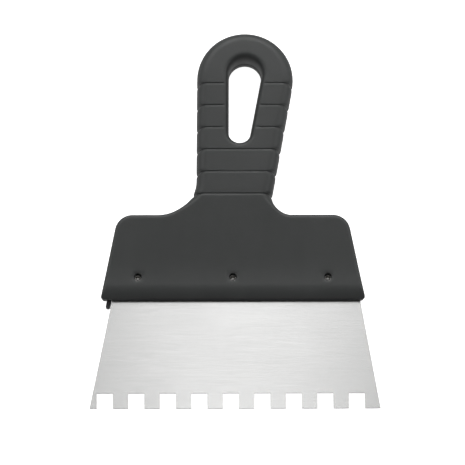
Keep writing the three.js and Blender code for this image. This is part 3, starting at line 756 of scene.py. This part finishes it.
class Shader:
    """A material's node tree, with short ways to add and join nodes."""

    def __init__(self, name):
        self.material = bpy.data.materials.new(name)
        self.material.use_nodes = True
        self.tree = self.material.node_tree
        self.surface = next(n for n in self.tree.nodes if n.type == "BSDF_PRINCIPLED")
        self.place = self.tree.nodes.new("ShaderNodeTexCoord").outputs["Object"]

    def node(self, kind, **settings):
        made = self.tree.nodes.new(kind)
        for key, value in settings.items():
            setattr(made, key, value)
        return made

    def link(self, source, target):
        self.tree.links.new(source, target)

    def mapped(self, scale, turn=0.0):
        made = self.node("ShaderNodeMapping")
        made.inputs["Scale"].default_value = scale
        made.inputs["Rotation"].default_value = (0, 0, turn)
        self.link(self.place, made.inputs["Vector"])
        return made.outputs["Vector"]

    def noise(self, scale, detail=2.0, roughness=0.5, source=None):
        made = self.node("ShaderNodeTexNoise")
        made.inputs["Scale"].default_value = scale
        made.inputs["Detail"].default_value = detail
        made.inputs["Roughness"].default_value = roughness
        self.link(source or self.place, made.inputs["Vector"])
        return made.outputs["Fac"]

    def spread(self, source, low, high, to_low, to_high):
        made = self.node("ShaderNodeMapRange")
        for key, value in (("From Min", low), ("From Max", high), ("To Min", to_low), ("To Max", to_high)):
            made.inputs[key].default_value = value
        self.link(source, made.inputs["Value"])
        return made.outputs["Result"]

    def math(self, operation, first, second):
        made = self.node("ShaderNodeMath", operation=operation)
        for socket, value in zip(made.inputs, (first, second)):
            if isinstance(value, (int, float)):
                socket.default_value = value
            else:
                self.link(value, socket)
        return made.outputs["Value"]

    def mix(self, share, first, second):
        made = self.node("ShaderNodeMix", data_type="RGBA")
        sockets = [s for s in made.inputs if s.type == "RGBA"]
        self.link(share, made.inputs["Factor"])
        for socket, value in zip(sockets, (first, second)):
            if isinstance(value, tuple):
                socket.default_value = (*value, 1)
            else:
                self.link(value, socket)
        return next(s for s in made.outputs if s.type == "RGBA")

    def bump(self, heights):
        """Bumps laid on each other, each as (height, strength, distance in metres)."""
        normal = None
        for height, strength, distance in heights:
            made = self.node("ShaderNodeBump")
            made.inputs["Strength"].default_value = strength
            made.inputs["Distance"].default_value = distance
            self.link(height, made.inputs["Height"])
            if normal:
                self.link(normal, made.inputs["Normal"])
            normal = made.outputs["Normal"]
        self.link(normal, self.surface.inputs["Normal"])


def black_plastic():
    """Moulded polypropylene: nearly black, satin, with faint flow marks and light handling wear."""
    shader = Shader("black_plastic")
    flow = shader.noise(38, 3, 0.55, shader.mapped((1, 0.45, 1), 0.2))
    cloud = shader.noise(110, 4, 0.6)
    grain = shader.noise(5200, 2, 0.5)
    scuff = shader.noise(260, 5, 0.7, shader.mapped((1, 3.2, 1), 0.7))
    share = shader.spread(flow, 0.35, 0.65, 0, 1)
    tone = shader.mix(share, (0.030, 0.0325, 0.0320), (0.036, 0.0385, 0.0380))
    rubbed = shader.spread(scuff, 0.62, 0.80, 0, 0.35)
    tone = shader.mix(rubbed, tone, (0.050, 0.052, 0.052))
    shader.link(tone, shader.surface.inputs["Base Color"])
    rough = shader.spread(cloud, 0.3, 0.7, 0.40, 0.50)
    rough = shader.math("SUBTRACT", rough, shader.math("MULTIPLY", rubbed, 0.15))
    shader.link(rough, shader.surface.inputs["Roughness"])
    shader.surface.inputs["Specular IOR Level"].default_value = 0.5
    shader.bump([(cloud, 0.12, 0.0003), (grain, 0.22, 0.00005)])
    return shader.material


def rolled_steel():
    """Stainless sheet with the fine grain that rolling leaves, faint smears and a few hairline scratches."""
    shader = Shader("rolled_steel")
    grain = shader.noise(900, 4, 0.65, shader.mapped((0.06, 3.0, 1)))
    fine = shader.noise(4200, 2, 0.6, shader.mapped((0.05, 2.0, 1)))
    smear = shader.noise(24, 3, 0.5, shader.mapped((1, 1.6, 1), 0.4))
    scratch = shader.noise(700, 3, 0.75, shader.mapped((0.035, 2.2, 1), 0.12))
    share = shader.spread(grain, 0.3, 0.7, 0, 1)
    tone = shader.mix(share, (0.70, 0.70, 0.695), (0.77, 0.77, 0.765))
    tone = shader.mix(shader.spread(scratch, 0.70, 0.78, 0, 0.5), tone, (0.86, 0.86, 0.86))
    shader.link(tone, shader.surface.inputs["Base Color"])
    shader.surface.inputs["Metallic"].default_value = 1.0
    rough = shader.spread(smear, 0.3, 0.7, 0.235, 0.25)
    rough = shader.math("ADD", rough, shader.spread(fine, 0.3, 0.7, -0.02, 0.02))
    shader.link(rough, shader.surface.inputs["Roughness"])
    shader.bump([(grain, 0.10, 0.00004), (fine, 0.10, 0.00002)])
    return shader.material


def bright_nickel():
    """Nickel plate, its colour painted darker than bare nickel and darker still in a random mottle, as
    painted shade for the deep rivet recesses.
    """
    shader = Shader("bright_nickel")
    painted_shade_mottle = shader.noise(1400, 4, 0.6)
    # Painted shade: the mottle mixes the nickel with a near-black grey so that the recessed rivets look
    # dark.
    tone = shader.mix(shader.spread(painted_shade_mottle, 0.40, 0.72, 0, 1), (0.50, 0.49, 0.47), (0.22, 0.215, 0.205))
    shader.link(tone, shader.surface.inputs["Base Color"])
    shader.surface.inputs["Metallic"].default_value = 1.0
    shader.link(shader.spread(painted_shade_mottle, 0.3, 0.7, 0.14, 0.34), shader.surface.inputs["Roughness"])
    shader.bump([(shader.noise(3000, 3, 0.6), 0.15, 0.00003)])
    return shader.material


def pale_floor():
    """White paper that glows a little, as the sweep of a product table does."""
    shader = Shader("pale_floor")
    mottle = shader.noise(3, 3, 0.5)
    tone = shader.mix(mottle, (0.90, 0.90, 0.90), (0.93, 0.93, 0.93))
    shader.link(tone, shader.surface.inputs["Base Color"])
    shader.link(shader.spread(mottle, 0.3, 0.7, 0.7, 0.8), shader.surface.inputs["Roughness"])
    shader.surface.inputs["Emission Color"].default_value = (1, 1, 1, 1)
    shader.surface.inputs["Emission Strength"].default_value = 1.0
    return shader.material


# ---- the tool -------------------------------------------------------------------------------------------

def show(piece, node, material):
    piece.data.materials.clear()
    piece.data.materials.append(material)
    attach(piece, "root")
    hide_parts(node)


plastic = black_plastic()
show(make_front_shell(), "front_shell", plastic)
show(make_rear_shell(), "rear_shell", plastic)
show(make_blade(), "blade", rolled_steel())
nickel = bright_nickel()
for node, x in RIVETS.items():
    show(make_rivet(node, x), node, nickel)

# ---- floor, light and camera ----------------------------------------------------------------------------

FLOOR_REACH = 4.0
FLOOR_BELOW = 0.0004                # under the tool, so that the two don't touch

floor_skin = bpy.data.meshes.new("floor")
corners = [(x * FLOOR_REACH, y * FLOOR_REACH, 0) for x, y in ((-1, -1), (1, -1), (1, 1), (-1, 1))]
floor_skin.from_pydata(corners, [], [(0, 1, 2, 3)])
floor = bpy.data.objects.new("floor", floor_skin)
floor.location.z = cad_box[0].z - FLOOR_BELOW
floor_skin.materials.append(pale_floor())
bpy.context.scene.collection.objects.link(floor)
floor.visible_glossy = False


def softbox(name, place_at, size, power):
    """A rectangular light that faces the tool's middle."""
    light = bpy.data.lights.new(name, "AREA")
    light.shape = "RECTANGLE"
    light.size, light.size_y = size
    light.energy = power
    holder = bpy.data.objects.new(name, light)
    holder.location = place_at
    holder.rotation_mode = "QUATERNION"
    holder.rotation_quaternion = (-Vector(place_at)).to_track_quat("-Z", "Y")
    bpy.context.scene.collection.objects.link(holder)


softbox("top_softbox", (0.037, 0.42, 1.30), (0.226, 1.0), 1.06)
softbox("rear_softbox", (0.0, 1.2, 1.15), (1.6, 1.0), 15.0)
softbox("left_softbox", (-1.1, 0.35, 0.9), (1.2, 1.3), 4.8)
softbox("right_softbox", (1.1, 0.35, 0.9), (1.2, 1.3), 5.4)

world = bpy.data.worlds.new("studio")
world.use_nodes = True
bpy.context.scene.world = world
background = next(n for n in world.node_tree.nodes if n.type == "BACKGROUND")
background.inputs["Color"].default_value = (1, 1, 1, 1)
direction = world.node_tree.nodes.new("ShaderNodeTexCoord")
parts = world.node_tree.nodes.new("ShaderNodeSeparateXYZ")
level = world.node_tree.nodes.new("ShaderNodeMapRange")
for key, value in (("From Min", -0.1), ("From Max", 0.65), ("To Min", 0.45), ("To Max", 0.13)):
    level.inputs[key].default_value = value
world.node_tree.links.new(direction.outputs["Generated"], parts.inputs["Vector"])
world.node_tree.links.new(parts.outputs["Z"], level.inputs["Value"])
world.node_tree.links.new(level.outputs["Result"], background.inputs["Strength"])

SENSOR = 36.0
PITCH, YAW, ROLL = 17.080, 0.926, -0.089
DISTANCE = 1.994
LENS = 299.87
LENS_SHIFT = (-0.003226, -0.025699)

target = Vector((0, 0, PARTING * MM))
back = Vector((-math.tan(math.radians(YAW)), -math.tan(math.radians(PITCH)), 1)).normalized()
right = (Vector((1, 0, 0)) - back * back.x).normalized()
up = back.cross(right)
roll = Matrix.Rotation(math.radians(ROLL), 3, back)
camera_data = bpy.data.cameras.new("camera")
camera_data.sensor_width = SENSOR
camera_data.lens = LENS
camera_data.shift_x, camera_data.shift_y = LENS_SHIFT
camera_data.clip_start, camera_data.clip_end = 0.05, 50
camera = bpy.data.objects.new("camera", camera_data)
turned = roll @ Matrix((right, up, back)).transposed()
camera.matrix_world = Matrix.Translation(target + back * DISTANCE) @ turned.to_4x4()
bpy.context.scene.collection.objects.link(camera)
bpy.context.scene.camera = camera
bpy.context.scene.view_settings.view_transform = "Standard"
